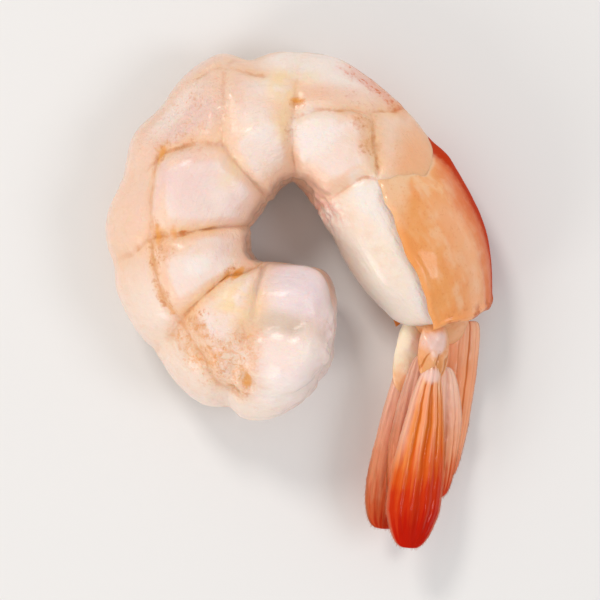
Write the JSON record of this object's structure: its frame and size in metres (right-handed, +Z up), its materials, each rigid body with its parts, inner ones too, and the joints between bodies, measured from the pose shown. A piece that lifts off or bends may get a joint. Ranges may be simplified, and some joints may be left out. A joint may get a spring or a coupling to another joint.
{
  "type": "cooked shrimp",
  "caption": "Peeled cooked shrimp with its tail on, curled into a hook and lying on its flank, with blocks of pale flesh, a thin orange shell over the last segment and a folded tail fan.",
  "frame": {"origin": "on the surface that the shrimp lies on, under the middle of its bounding box", "axes": "+Z up, +Y away from the tip of the tail and towards the top of the curl, +X from the outside of the curl towards the shelled tail"},
  "size_m": [0.0494, 0.0632, 0.0189],
  "materials": {
    "flesh": "wet, translucent cooked flesh, cream to pink with orange seams",
    "shell": "thin, glossy, see-through orange shell with a red-orange band along the back",
    "fan_blade": "thin glossy orange blades that deepen to dark red at the tips",
    "fan_base": "pale pink-orange joint with white bumps"
  },
  "bodies": {
    "root": {"flesh": "flesh", "tail_shell": "shell", "telson": "fan_blade", "uropod_inner_left": "fan_blade", "uropod_outer_left": "fan_blade", "uropod_inner_right": "fan_blade", "uropod_outer_right": "fan_blade", "uropod_base_left": "fan_base", "uropod_base_right": "fan_base"}
  },
  "joints": []
}
